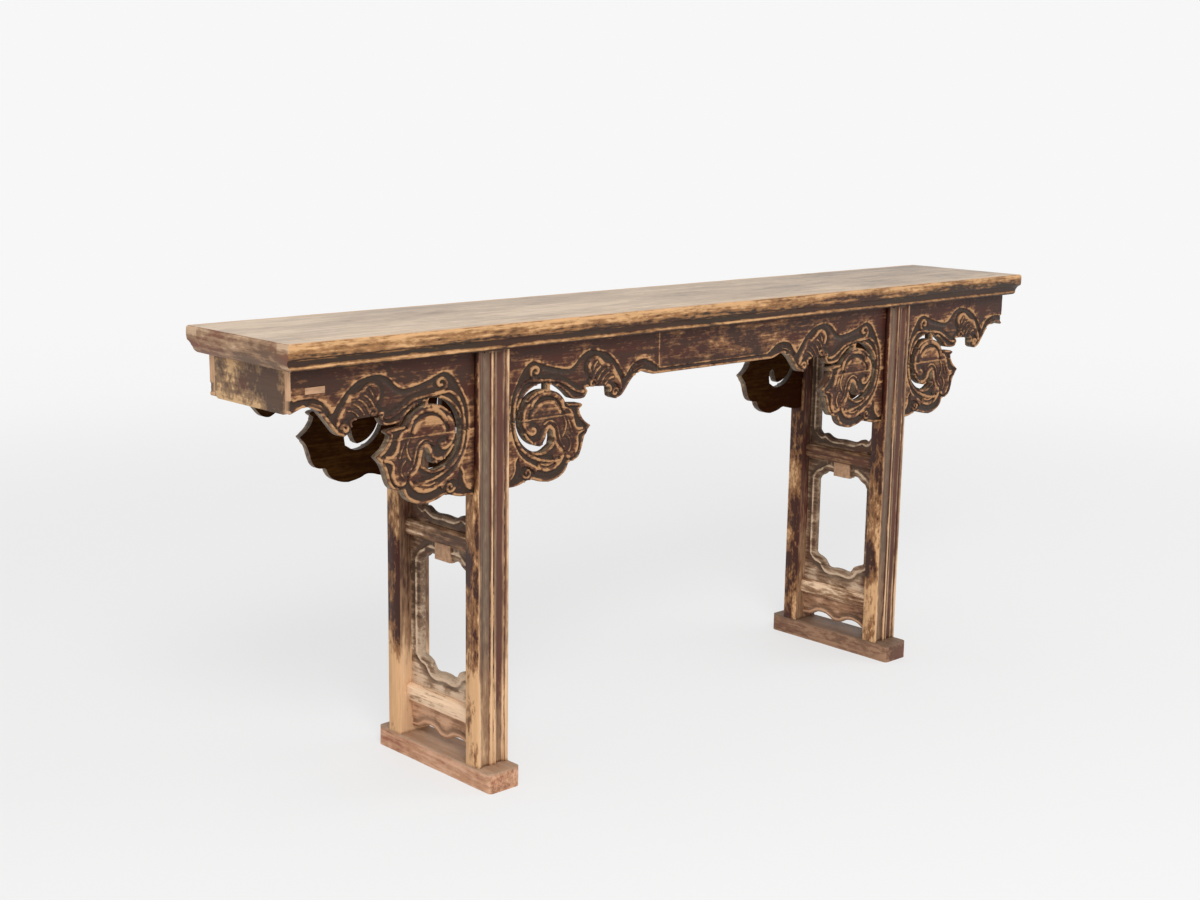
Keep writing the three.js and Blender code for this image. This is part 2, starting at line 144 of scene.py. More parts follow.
# Places that hands and cloths have rubbed bare: distance from the leg and drop of the middle,
# reach across, reach down, strength
RUBBED_PLACES = [
    (131, 117, 26, 7, 0.34), (84, 33, 16, 8, 0.3), (211, 45, 8, 12, 0.28), (339, 63, 9, 8, 0.3),
    (182, 166, 10, 14, 0.24), (138, 225, 24, 7, 0.3), (48, 226, 7, 20, 0.34), (222, 184, 7, 8, 0.26),
    (262, 58, 12, 14, 0.22), (45, 180, 5, 26, 0.24), (306, 110, 9, 6, 0.2), (48, 52, 5, 16, 0.22),
]

# Sections of the carving: half width, rise, strength of the channel beside it, rub
PLUMP = (4.3, 1.3, 1.0, 1.0)
CREST = (3.2, 0.9, 1.0, 1.0)
GROUND_EDGE = (2.6, 0.1, 1.0, 0.85)
VEIN = (1.8, 0.5, 0.5, 0.7)
CHANNEL_REACH = 3.4
CHANNEL_HALF = 5.0
CHANNEL_DEPTH = 3.6
SUNK_GROUND = 1.8

# The lip that runs along a board's cut edge, and fades out where a crest comes near
LIP_HALF = 3.0
LIP_INSET = 2.9
LIP_RISE = 0.4
LIP_CHANNEL = 0.8
LIP_TO_CREST = 9.5

# Lengths of the swells in a carved face
BROAD_SWELL = 34
PATCH_SWELL = 17
SMALL_SWELL = 7

# Rounds of easing a sawn outline: degrees of turn that stay sharp, longest cut at a corner
EASINGS = ((48, 3), (30, 1.5))

# Steps between points: close ones for finding gaps, wider ones for the mesh
LINE_STEP = 0.7
EDGE_STEP = 0.8
CREST_STEP = 2.2
OUTLINE_STEP = 2.4
FINE_STEP = 2.8
COARSE_STEP = 11.0
FINE_REACH = 16
POINT_CELL = 0.9
EDGE_CLEARANCE = 0.6

# Rows of points beside a crest, in shares of its half width and of its channel's reach, and
# rows along the edge, measured from the lip
CREST_ROWS = (0, 0.5, 0.9)
CHANNEL_ROWS = (0.45, 1, 1.6, 2.3)
EDGE_ROW = 0.9
LIP_ROWS = (-1.7, -0.9, 0, 1.3, 2.6, 4.4, 6.4, 9)
LEAST_ROW = 0.7
ROW_TOLERANCE = 0.93
TRIANGLE_HEIGHT = 0.87
CARVED_SHARP = 38


def curl(u, drop, start_radius, end_radius, start, end, steps=14):
    """Points of a spiral round (u, drop); angles in degrees, anticlockwise as seen."""
    points = []
    for step in range(steps + 1):
        share = step / steps
        angle = math.radians(start + (end - start) * share)
        radius = start_radius + (end_radius - start_radius) * share
        points.append((u + radius * math.cos(angle), drop - radius * math.sin(angle)))
    return points


def smooth_step(low, high, values):
    share = np.clip((values - low) / (high - low), 0, 1)
    return share * share * (3 - 2 * share)


# Materials


def rgb(red, green, blue):
    """An sRGB colour, 0 to 255, as Blender's linear values."""
    def channel(value):
        value /= 255
        return value / 12.92 if value <= 0.04045 else ((value + 0.055) / 1.055) ** 2.4
    return (channel(red), channel(green), channel(blue), 1.0)


def add_node(tree, kind, inputs, **settings):
    """A shader node; each input is a plain value or another node's output."""
    node = tree.nodes.new("ShaderNode" + kind)
    for name, value in settings.items():
        setattr(node, name, value)
    for key, value in inputs.items():
        if isinstance(value, bpy.types.NodeSocket):
            tree.links.new(value, node.inputs[key])
        else:
            node.inputs[key].default_value = value
    return node


def noise_field(tree, coords, stretch, detail, roughness):
    mapping = add_node(tree, "Mapping", {"Vector": coords, "Scale": stretch})
    inputs = {"Vector": mapping.outputs[0], "Scale": 1.0, "Detail": detail, "Roughness": roughness}
    return add_node(tree, "TexNoise", inputs).outputs[0]


def blend(tree, factor, first, second):
    return add_node(tree, "Mix", {0: factor, 6: first, 7: second}, data_type="RGBA").outputs[2]


def ramp(tree, value, low, high, start=0.0, end=1.0):
    inputs = {0: value, 1: low, 2: high, 3: start, 4: end}
    return add_node(tree, "MapRange", inputs, interpolation_type="SMOOTHSTEP").outputs[0]


def calc(tree, operation, first, second):
    return add_node(tree, "Math", {0: first, 1: second}, operation=operation).outputs[0]


def swing(tree, field, amount):
    """A noise field as a push to either side of zero."""
    return calc(tree, "MULTIPLY", calc(tree, "SUBTRACT", field, 0.5), amount)


def attribute(tree, name):
    return add_node(tree, "Attribute", {}, attribute_name=name).outputs["Fac"]


def along_grain(axis, across, ratio):
    stretch = [across] * 3
    stretch["XYZ".index(axis)] = across / ratio
    return tuple(stretch)


# Wear at which the lacquer and the stain under it start to go and are gone, and at which the
# gloss is that of bare wood
LACQUER_GOES = (0.3, 0.6)
STAIN_GOES = (0.58, 0.92)
GLOSS_GOES = (0.3, 0.75)
STREAK_RATIO = 18.0
PORE_SIZE = 900.0
PORE_RATIO = 24.0
GRAIN_DEPTH = 0.0015
# Painted shade with grey dust for the carving's channels and sunk ground: darker and greyer than the
# lacquer
GROOVE_SHADE_AND_DUST = rgb(56, 44, 35)


def worn_wood(
    name, lacquer, stained, bare, along, bias=0.0,
    patch=1.2, patch_size=24.0, patch_ratio=2.5, fleck=0.8, fleck_size=130.0, fleck_ratio=3.0,
    streak=0.8, streak_size=170.0, contrast=0.12, gloss=(0.42, 0.6), grain_bump=0.3,
    groove_colour=GROOVE_SHADE_AND_DUST, groove_share=0.85, specular=0.18, ruddy_push=(1.3, 0.9, 0.86),
):
    """Lacquer over stained and bare wood: the wear attribute and noise rub through the coats.

    patch, fleck and streak say how far each noise sways the wear. The sizes are in waves to the
    metre, and the ratios draw the noises out along the grain. The groove attribute lays
    groove_colour in the hollows: dust and dirt, and where that colour is darker than the wood,
    as on the carved boards, painted shade as well.
    """
    material = bpy.data.materials.new(name)
    material.use_nodes = True
    tree = material.node_tree
    shader = tree.nodes["Principled BSDF"]
    coords = add_node(tree, "TexCoord", {}).outputs["Object"]
    patches = noise_field(tree, coords, along_grain(along, patch_size, patch_ratio), 7.0, 0.66)
    flecks = noise_field(tree, coords, along_grain(along, fleck_size, fleck_ratio), 3.0, 0.6)
    streaks = noise_field(tree, coords, along_grain(along, streak_size, STREAK_RATIO), 4.0, 0.6)
    pores = noise_field(tree, coords, along_grain(along, PORE_SIZE, PORE_RATIO), 2.0, 0.5)
    tones = noise_field(tree, coords, along_grain(along, patch_size * 0.6, patch_ratio), 3.0, 0.5)
    total = calc(tree, "ADD", attribute(tree, "wear"), bias)
    for field, amount in ((patches, patch), (flecks, fleck), (streaks, streak)):
        total = calc(tree, "ADD", total, swing(tree, field, amount))
    through_lacquer = ramp(tree, total, *LACQUER_GOES)
    through_stain = ramp(tree, total, *STAIN_GOES)
    ruddy = tuple(min(1.0, part * push) for part, push in zip(lacquer, ruddy_push)) + (1.0,)
    colour = blend(tree, ramp(tree, tones, 0.38, 0.62), lacquer, ruddy)
    colour = blend(tree, through_lacquer, colour, stained)
    colour = blend(tree, through_stain, colour, bare)
    uneven = calc(tree, "ADD", 1.0, swing(tree, flecks, 1.6))
    groove = calc(tree, "MULTIPLY", attribute(tree, "groove"), groove_share)
    colour = blend(tree, calc(tree, "MULTIPLY", groove, uneven), colour, groove_colour)
    grain = calc(tree, "ADD", swing(tree, streaks, contrast * 4), swing(tree, pores, contrast * 3))
    shade = {"Color": colour, "Value": calc(tree, "ADD", grain, 1.0)}
    colour = add_node(tree, "HueSaturation", shade).outputs[0]
    tree.links.new(colour, shader.inputs["Base Color"])
    tree.links.new(ramp(tree, total, *GLOSS_GOES, *gloss), shader.inputs["Roughness"])
    shader.inputs["Specular IOR Level"].default_value = specular
    height = calc(tree, "MULTIPLY", pores, 0.5)
    height = calc(tree, "ADD", height, calc(tree, "MULTIPLY", streaks, 0.5))
    height = calc(tree, "SUBTRACT", height, calc(tree, "MULTIPLY", through_lacquer, 0.35))
    height = calc(tree, "ADD", height, calc(tree, "MULTIPLY", flecks, 0.5))
    bump_inputs = {"Strength": grain_bump, "Distance": GRAIN_DEPTH, "Height": height}
    bump = add_node(tree, "Bump", bump_inputs)
    tree.links.new(bump.outputs[0], shader.inputs["Normal"])
    return material


carved_lacquer = worn_wood(
    "carved_lacquer", rgb(64, 42, 33), rgb(116, 79, 54), rgb(180, 135, 94), "X",
    patch=1.0, patch_size=40, patch_ratio=5, fleck=1.3, fleck_size=150, fleck_ratio=2,
    streak=1.1, streak_size=230,
)
sawn_wall = worn_wood(
    "sawn_wall", rgb(78, 66, 54), rgb(116, 99, 81), rgb(158, 136, 111), "X", bias=0.08,
    patch_size=30, groove_share=0.0,
)
leg_lacquer = worn_wood(
    "leg_lacquer", rgb(84, 57, 48), rgb(148, 114, 86), rgb(220, 180, 140), "Z",
    patch=0.9, patch_size=26, patch_ratio=5, fleck=0.5, streak=0.6,
    groove_colour=rgb(132, 115, 95), groove_share=0.8,
)
leg_cheek = worn_wood(
    "leg_cheek", rgb(66, 40, 32), rgb(144, 101, 66), rgb(218, 172, 126), "Z",
    patch=3.5, patch_size=17, patch_ratio=2.0, fleck=0.9, fleck_ratio=2, streak=0.4,
    groove_share=0.0,
)
lining_lacquer = worn_wood(
    "lining_lacquer", rgb(86, 66, 52), rgb(146, 116, 91), rgb(212, 184, 156), "Y",
    patch_size=24, groove_colour=rgb(92, 76, 62), groove_share=0.6,
)
foot_apron_tan = worn_wood(
    "foot_apron_tan", rgb(96, 68, 50), rgb(160, 119, 90), rgb(206, 162, 130), "Y",
    patch_size=20, groove_colour=rgb(110, 88, 70), groove_share=0.5,
)
rail_lacquer = worn_wood(
    "rail_lacquer", rgb(88, 63, 48), rgb(150, 113, 83), rgb(240, 206, 172), "Y",
    patch_size=20, patch_ratio=5, streak=1.2,
)
edge_honey = worn_wood(
    "edge_honey", rgb(60, 47, 37), rgb(148, 106, 68), rgb(206, 161, 114), "X",
    patch=0.8, patch_size=14, patch_ratio=3, fleck=1.0, fleck_size=170,
    streak=1.1, streak_size=170, groove_share=0.0,
)
top_scrubbed = worn_wood(
    "top_scrubbed", rgb(150, 134, 120), rgb(187, 167, 147), rgb(211, 190, 167), "X", bias=0.2,
    patch=1.6, patch_size=9, patch_ratio=3, fleck=0.5, streak=1.0, contrast=0.07,
    gloss=(0.45, 0.55), grain_bump=0.15, groove_colour=rgb(208, 160, 110),
    ruddy_push=(1.06, 0.98, 0.9),
)
cap_brown = worn_wood(
    "cap_brown", rgb(116, 88, 67), rgb(160, 127, 99), rgb(204, 171, 141), "Y", bias=0.06,
    patch=2.6, patch_size=16, patch_ratio=1.8, groove_share=0.0,
)
end_board_worn = worn_wood(
    "end_board_worn", rgb(88, 67, 52), rgb(142, 112, 84), rgb(216, 176, 130), "Y",
    patch=3.8, patch_size=10, patch_ratio=1.1, streak=0.4, fleck_ratio=1, groove_share=0.0,
)
end_grain = worn_wood(
    "end_grain", rgb(150, 112, 84), rgb(184, 142, 108), rgb(208, 166, 130), "Z", bias=0.4,
)
back_brown = worn_wood(
    "back_brown", rgb(48, 25, 6), rgb(70, 42, 14), rgb(98, 66, 32), "X", bias=0.1,
    patch_size=8, gloss=(0.8, 0.9), groove_share=0.0, specular=0.04,
)
foot_red = worn_wood(
    "foot_red", rgb(150, 108, 84), rgb(190, 142, 110), rgb(212, 168, 138), "Y", bias=0.3,
    patch=2.0, patch_size=16, fleck=1.2, contrast=0.1, groove_colour=rgb(150, 126, 104),
)
foot_brown = worn_wood(
    "foot_brown", rgb(100, 73, 57), rgb(130, 96, 76), rgb(164, 127, 100), "Y", bias=0.25,
    patch=2.0, patch_size=16, fleck=1.2, contrast=0.1, groove_colour=rgb(112, 92, 76),
)
pale_block = worn_wood(
    "pale_block", rgb(140, 106, 80), rgb(170, 132, 102), rgb(190, 150, 118), "X", bias=0.35,
    patch=0.8,
)


# Lines and outlines on the face of a board


def refined(points, step, closed):
    """Points along a line, no further apart than step."""
    out = []
    ends = points[1:] + points[:1] if closed else points[1:]
    for (a, b), (c, d) in zip(points, ends):
        count = max(1, math.ceil(math.hypot(c - a, d - b) / step))
        out += [(a + (c - a) * i / count, b + (d - b) * i / count) for i in range(count)]
    if not closed:
        out.append(tuple(points[-1]))
    return out


def softened(points):
    """Rounds the corners of an open line."""
    for _ in range(2):
        softer = [points[0]]
        for (a, b), (c, d) in zip(points[:-1], points[1:]):
            softer.append((a * 0.75 + c * 0.25, b * 0.75 + d * 0.25))
            softer.append((a * 0.25 + c * 0.75, b * 0.25 + d * 0.75))
        softer.append(points[-1])
        points = softer
    return points


def turn_at(before, here, after):
    first = Vector((here[0] - before[0], here[1] - before[1]))
    second = Vector((after[0] - here[0], after[1] - here[1]))
    return abs(first.angle_signed(second, 0.0))


def eased_outline(points, keep_turn, longest):
    """Rounds the gentle corners of a closed outline, not the sharp ones or the straight borders."""
    low_b, high_b = min(b for _, b in points), max(b for _, b in points)
    out = []
    for index, here in enumerate(points):
        before, after = points[index - 1], points[(index + 1) % len(points)]
        on_border = min(here[1] - low_b, high_b - here[1]) < 0.5
        if on_border or turn_at(before, here, after) > keep_turn:
            out.append(here)
            continue
        for other in (before, after):
            a, b = other[0] - here[0], other[1] - here[1]
            share = min(0.25, longest / max(math.hypot(a, b), 1e-6))
            out.append((here[0] + a * share, here[1] + b * share))
    return out


def inside(places, outline):
    """Which places lie inside a closed outline."""
    result = np.zeros(len(places), bool)
    x, y = places[:, 0], places[:, 1]
    for (x1, y1), (x2, y2) in zip(outline, outline[1:] + outline[:1]):
        if y1 != y2:
            crosses = (y1 > y) != (y2 > y)
            result ^= crosses & (x < (x2 - x1) * (y - y1) / (y2 - y1) + x1)
    return result


def unit_rows(ways):
    """Each row of ways as a unit vector."""
    return ways / np.maximum(np.linalg.norm(ways, axis=1), 1e-9)[:, None]


def left_hand(ways):
    """Each row turned a quarter to the left."""
    return np.stack([-ways[:, 1], ways[:, 0]], 1)


class Nearest:
    """Finds the gap from any place to the nearest of many points."""

    FAR_OFF = (1e5, 1e5)

    def __init__(self, points):
        points = points or [self.FAR_OFF]
        self.tree = KDTree(len(points))
        for index, (a, b) in enumerate(points):
            self.tree.insert((a, b, 0), index)
        self.tree.balance()

    def find(self, places):
        """The gap from each place, and the index of the point it leads to."""
        found = [self.tree.find((a, b, 0)) for a, b in places]
        return np.array([gap for _, _, gap in found]), np.array([index for _, index, _ in found], int)

    def gaps(self, places):
        return self.find(places)[0]


def hump(gap, middle, half):
    """A round hump across a gap, 1 at its middle and 0 past its half width."""
    return np.clip(1 - ((gap - middle) / half) ** 2, 0, 1) ** 0.7


def noise_at(places, scale, seed):
    return np.array([noise.noise((a / scale, b / scale, seed)) for a, b in places])


def merged_copy(node):
    """A node's mesh with its loose triangles joined."""
    source = bmesh.new()
    source.from_mesh(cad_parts[node].data)
    bmesh.ops.remove_doubles(source, verts=source.verts, dist=1e-6)
    return source


def face_outline(node, normal, across):
    """The outline of a board's flat face, in millimetres across and up, and where the face lies."""
    mesh = merged_copy(node)
    faces = [f for f in mesh.faces if f.normal.dot(normal) > 0.999]
    level = max(f.calc_center_median().dot(normal) for f in faces)
    faces = {f for f in faces if abs(f.calc_center_median().dot(normal) - level) < 1e-5}
    follow = {}
    for face in faces:
        for loop in face.loops:
            if not any(f is not face and f in faces for f in loop.edge.link_faces):
                place = loop.vert.co
                after = loop.link_loop_next.vert.index
                follow[loop.vert.index] = (after, place.dot(across) / MM, place.z / MM)
    start = min(follow, key=lambda vertex: follow[vertex][1:])
    chain, index = [], start
    while index != start or not chain:
        index, a, b = follow[index]
        chain.append((a, b))
    mesh.free()
    return chain, level


# Carved boards


def sampled(lines):
    """Close points along the crests, with each one's direction, section and cut side."""
    places, ways, kinds = [], [], []
    for line, section, cut_side in lines:
        fine = refined(line, LINE_STEP, False)
        places += fine
        ways.append(unit_rows(np.gradient(np.array(fine), axis=0)))
        kinds += [(*section, cut_side)] * len(fine)
    if not places:
        return [], np.array([[1.0, 0.0]]), np.array([[*VEIN, BOTH]])
    return places, np.concatenate(ways), np.array(kinds)


def rows_beside(line, section, crests):
    """Rows of points along a crest and over its channels, where no other crest is nearer."""
    half, _, strength, _ = section
    points = np.array(line)
    side = left_hand(unit_rows(np.gradient(points, axis=0)))
    offsets = [half * share for share in CREST_ROWS]
    offsets += [half + CHANNEL_REACH * strength * share for share in CHANNEL_ROWS]
    rows = []
    for offset in offsets:
        for sign in (-1, 1) if offset else (1,):
            row = points + side * offset * sign
            rows.append(row[crests.gaps(row) >= offset * ROW_TOLERANCE])
    return rows


def rows_along_edge(ring, edge_places, lip_inset):
    """Rows of points inside the outline, from the arris to past the lip."""
    inward = left_hand(unit_rows(np.roll(ring, -1, 0) - np.roll(ring, 1, 0)))
    rows = []
    for offset in [EDGE_ROW] + [lip_inset + step for step in LIP_ROWS]:
        if offset > LEAST_ROW:
            row = ring + inward * offset
            rows.append(row[edge_places.gaps(row) >= offset * ROW_TOLERANCE])
    return rows


def face_points(ring, outline, lines, crests, lip_places, lip_inset):
    """Points over a board's face, in rows along the crests and edges and on a grid between."""
    edge_places = Nearest(refined(ring, EDGE_STEP, True))
    rows = []
    for line, section, _ in lines:
        rows += rows_beside(line, section, crests)
    ring_array = np.array(ring)
    rows += rows_along_edge(ring_array, edge_places, lip_inset)
    low, high = ring_array.min(0), ring_array.max(0)
    for step, near in ((FINE_STEP, True), (COARSE_STEP, False)):
        columns = np.arange(low[0] + step / 2, high[0], step)
        levels = np.arange(low[1] + step / 2, high[1], step * TRIANGLE_HEIGHT)
        across, up = np.meshgrid(columns, levels)
        across = across + (np.arange(len(levels)) % 2)[:, None] * step / 2
        grid = np.stack([across.ravel(), up.ravel()], 1)
        grid = grid[inside(grid, outline)]
        gap = np.minimum(crests.gaps(grid), lip_places.gaps(grid))
        rows.append(grid[(gap < FINE_REACH) == near])
    places = np.concatenate(rows)
    places = places[inside(places, outline)]
    places = places[edge_places.gaps(places) > EDGE_CLEARANCE]
    seen, kept = set(), []
    for index, (a, b) in enumerate(places):
        cell = (int(a / POINT_CELL), int(b / POINT_CELL))
        if cell not in seen:
            seen.add(cell)
            kept.append(index)
    return places[kept]


def relief(planar, ring, lines, lip_places, lip_inset, seed, rubbed):
    """Height in millimetres, wear, and groove darkness over a board's face; the groove darkness is
    dust with painted shade.
    """
    places, ways, kinds = sampled(lines)
    gap, index = Nearest(places).find(planar)
    half, rise, strength, rub, cut_side = kinds[index].T
    offset = planar - np.array(places or [(0.0, 0.0)])[index]
    turn = ways[index][:, 0] * offset[:, 1] - ways[index][:, 1] * offset[:, 0]
    cut = np.where(cut_side == BOTH, 1.0, smooth_step(-0.5, 0.5, turn * cut_side))
    lip_gap = lip_places.gaps(planar)
    edge_gap = Nearest(refined(ring, EDGE_STEP, True)).gaps(planar)
    nearest = np.minimum(gap, lip_gap)
    broad = noise_at(planar, BROAD_SWELL, seed)
    patchy = smooth_step(-0.3, 0.3, noise_at(planar, PATCH_SWELL, seed + 3))
    small = noise_at(planar, SMALL_SWELL, seed + 5)

    crest = hump(gap, 0, half * (1 + 0.35 * broad + 0.25 * small))
    lip = hump(lip_gap, lip_inset, LIP_HALF * (1 + 0.3 * broad))
    raised = np.maximum(crest, lip)
    channel = hump(gap, half + CHANNEL_REACH * strength, CHANNEL_HALF * strength) * cut * strength
    lip_channel = hump(lip_gap, lip_inset + LIP_HALF + CHANNEL_REACH, CHANNEL_HALF) * LIP_CHANNEL
    channels = np.maximum(channel, lip_channel) * (1 - raised)
    on_cut_side = np.maximum(cut * strength * (gap < lip_gap), (lip_gap <= gap) * 1.0)
    sunk = on_cut_side * (1 - smooth_step(10, 24, nearest))
    height = -SUNK_GROUND * sunk * (1 - raised) - (CHANNEL_DEPTH - SUNK_GROUND) * channels
    height += np.maximum(crest * rise, lip * LIP_RISE)
    height -= np.clip(1.6 - lip_gap, 0, 1.6) * 0.9 + np.clip(0.9 - edge_gap, 0, 0.9) * 0.6
    height += small * 0.45 + broad * 0.3 - 0.7

    worn_crest = smooth_step(0.15, 0.85, np.maximum(crest * rub, lip * 0.9))
    rubbed_side = (1 - cut) * (1 - smooth_step(2, 14, gap))
    wear = 0.24 + 0.3 * broad + worn_crest * (0.28 + 0.34 * patchy + 0.22 * small)
    wear += rubbed_side * (0.06 + 0.24 * patchy + 0.25 * small)
    wear += 0.07 * (1 - smooth_step(12, 30, nearest)) - 0.2 * channels
    wear += 0.2 * (1 - smooth_step(0.6, 1.8, edge_gap))
    outer_slope = 0.35 * (1 - smooth_step(0.5, 2.4, lip_gap))
    # groove: painted shade with dust in the channels, on the sunk ground and down the outer slope,
    # less on the worn crests
    groove = np.clip(channels * 1.1 + 0.35 * sunk + outer_slope, 0, 1) * (1 - 0.9 * worn_crest)
    return height, wear + rubbed(planar), groove


# Places of a carved board's materials in its list
FACE, BACK, END, WALL = range(4)
BACK_WEAR = 0.3


def carved_board(
    name, node, normal, lines, is_free, rubbed, materials,
    seed=1, lip_inset=LIP_INSET, two_sided=False, end_faces=(), wall_material=FACE,
):
    """Copies a board's outline from its solid and carves the crests and channels into its face."""
    normal = Vector(normal)
    across = Vector((0, 0, 1)).cross(normal)
    outline, level = face_outline(node, normal, across)
    low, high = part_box(node)
    back_level = min(low.dot(normal), high.dot(normal))
    for keep_degrees, longest in EASINGS:
        outline = eased_outline(outline, math.radians(keep_degrees), longest)
    ring = refined(outline, OUTLINE_STEP, True)
    crests = Nearest(sampled(lines)[0])
    free = []
    for a, b in zip(ring, ring[1:] + ring[:1]):
        if is_free((a[0] + b[0]) / 2, (a[1] + b[1]) / 2, b[0] - a[0], b[1] - a[1]):
            free += refined([a, b], LINE_STEP, False)
    clear = crests.gaps(free) > LIP_TO_CREST
    lip_places = Nearest([place for place, is_clear in zip(free, clear) if is_clear])
    places = face_points(ring, outline, lines, crests, lip_places, lip_inset)

    count = len(ring)
    loop_edges = [(i, (i + 1) % count) for i in range(count)]
    flat = [Vector((float(a), float(b))) for a, b in np.concatenate([np.array(ring), places])]
    verts, _, faces, origin, _, _ = delaunay_2d_cdt(flat, loop_edges, [], 1, 1e-4)
    ring_at = {
        source: index for index, sources in enumerate(origin) for source in sources if source < count
    }
    planar = np.array([(v.x, v.y) for v in verts])
    coats = list(zip(planar, *relief(planar, ring, lines, lip_places, lip_inset, seed, rubbed)))

    mesh = bmesh.new()
    worn = mesh.verts.layers.float.new("wear")
    grooved = mesh.verts.layers.float.new("groove")

    def place(a, b, out, wear, groove):
        vertex = mesh.verts.new(across * a * MM + Vector((0, 0, b * MM)) + normal * out)
        vertex[worn] = float(wear)
        vertex[grooved] = float(groove)
        return vertex

    def carved_side(level, out):
        return [place(a, b, level + out * height * MM, *coat) for (a, b), height, *coat in coats]

    front = carved_side(level, 1)
    for face in faces:
        mesh.faces.new([front[i] for i in face])
    if two_sided:
        back = carved_side(back_level, -1)
        for face in faces:
            mesh.faces.new([back[i] for i in reversed(face)])
        edge_back = [back[ring_at[i]] for i in range(count)]
    else:
        _, _, back_faces, back_origin, _, _ = delaunay_2d_cdt(flat[:count], loop_edges, [], 1, 1e-4)
        edge_back = [place(a, b, back_level, BACK_WEAR, 0.0) for a, b in ring]
        for face in back_faces:
            corners = [edge_back[back_origin[i][0]] for i in reversed(face)]
            mesh.faces.new(corners).material_index = BACK
    for i in range(count):
        j = (i + 1) % count
        wall = mesh.faces.new([front[ring_at[i]], edge_back[i], edge_back[j], front[ring_at[j]]])
        wall.material_index = wall_material
        if any(abs(ring[i][0] - end) < 0.2 and abs(ring[j][0] - end) < 0.2 for end in end_faces):
            wall.material_index = END
    finish_board(name, mesh, materials, node)


def finish_board(name, mesh, materials, node):
    data = bpy.data.meshes.new(name)
    mesh.to_mesh(data)
    mesh.free()
    for material in materials:
        data.materials.append(material)
    piece = bpy.data.objects.new(name, data)
    bpy.context.scene.collection.objects.link(piece)
    data.shade_smooth()
    data.set_sharp_from_angle(angle=math.radians(CARVED_SHARP))
    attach(piece, "root")
    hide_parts(node)


def wing_lines(leg_x, side, end_line):
    """The crests on one side of a leg, in X and Z. side is the way the wing points."""
    crests = [
        (RING_CREST, CREST, BOTH), (CURL_CREST, CREST, BOTH), (CLOUD_CREST, GROUND_EDGE, RIGHT),
        (LEAF_TOP, GROUND_EDGE, RIGHT), (end_line, GROUND_EDGE, RIGHT), (SLOT_CREST, PLUMP, LEFT),
        (DISC_SPIRAL, CREST, RIGHT), (DISC_CROWN, PLUMP, RIGHT), (DISC_PLATE, PLUMP, LEFT),
        (EAR_CREST, CREST, LEFT), (LOBE_CREST, CREST, LEFT), (LOWER_CREST, CREST, RIGHT),
        (LEAF_CREST, CREST, LEFT), (CORNER_CREST, GROUND_EDGE, RIGHT),
        (curl(88, 234, 10, 2.5, 200, 560, 18), CREST, BOTH),
        (curl(248, 86, 9, 3, 0, 330, 16), CREST, BOTH),
        (curl(305, 107, 8, 3, 20, 330), CREST, BOTH),
    ]
    crests += [(line, VEIN, BOTH) for line in VEINS]
    return [
        ([(leg_x + side * u, UNDERSIDE - drop) for u, drop in line], section, -side * cut)
        for line, section, cut in crests
    ]


def clipped(lines, keep):
    """The stretches of the lines whose points pass the test."""
    out = []
    for line, section, cut in lines:
        stretch = []
        for point in refined(softened(line), CREST_STEP, False) + [None]:
            if point is not None and keep(*point):
                stretch.append(point)
                continue
            if len(stretch) > 2:
                out.append((stretch, section, cut))
            stretch = []
    return out


def rubbed_places(planar):
    """Wear in the rubbed places of a long side's four wings."""
    wear = np.zeros(len(planar))
    for leg_x in (-TRESTLE_X, TRESTLE_X):
        for side in (-1, 1):
            for u, drop, reach_across, reach_down, strength in RUBBED_PLACES:
                across = (planar[:, 0] - leg_x - side * u) / reach_across
                down = (planar[:, 1] - UNDERSIDE + drop) / reach_down
                wear += strength * np.exp(-across ** 2 - down ** 2)
    return wear


left_lines = wing_lines(-TRESTLE_X, -1, END_WAVE) + wing_lines(-TRESTLE_X, 1, MIDDLE_WAVE)
right_lines = wing_lines(TRESTLE_X, 1, END_WAVE) + wing_lines(TRESTLE_X, -1, MIDDLE_WAVE)
straight_half = TRESTLE_X - WAVE_END
straight_z = UNDERSIDE - STRAIGHT_LINE_DROP
straight_line = ([(-straight_half, straight_z), (straight_half, straight_z)], VEIN, BOTH)


def clear_of_legs(a, b):
    return abs(abs(a) - TRESTLE_X) > LEG_HALF + 3


def carved_edge(a, b, run, rise):
    """An edge that is carved, and not a seam, a joint or an end."""
    flat_seam = abs(rise) < 0.01 and (abs(b - UNDERSIDE) < 1 or abs(b - SEAM) < 1)
    upright_end = abs(run) < 0.01 and (abs(abs(a) - APRON_END) < 1 or abs(a - APRON_JOINT) < 2)
    return not flat_seam and not upright_end and clear_of_legs(a, b)


def on_apron(x0, x1):
    def keep(a, b):
        return SEAM + 1.5 < b < UNDERSIDE - 3 and x0 + 2 < a < x1 - 2 and clear_of_legs(a, b)
    return keep


def on_spandrel(a, b):
    return b < SEAM - 1.5 and clear_of_legs(a, b)


# The stretch right of the joint that is rubbed more than the rest of the front aprons
STRETCH_FADES = (180, 260)


def joint_rub(planar):
    """The ends that meet at the joint are bare, and the stretch right of it is rubbed."""
    gap = planar[:, 0] - APRON_JOINT
    reach = smooth_step(-2, 2, gap) * (1 - smooth_step(*STRETCH_FADES, planar[:, 0]))
    return 0.2 * reach - 0.04 + 0.4 * (1 - smooth_step(0.6, 3, abs(gap)))


def plain(planar):
    return 0.0


def seam_rub(extra):
    """Wear in the rubbed places and along the seam under an apron, on top of what the board has."""
    def rub(planar):
        seam = 0.4 * (1 - smooth_step(0.8, 2.6, abs(planar[:, 1] - SEAM)))
        return extra(planar) + rubbed_places(planar) + seam
    return rub


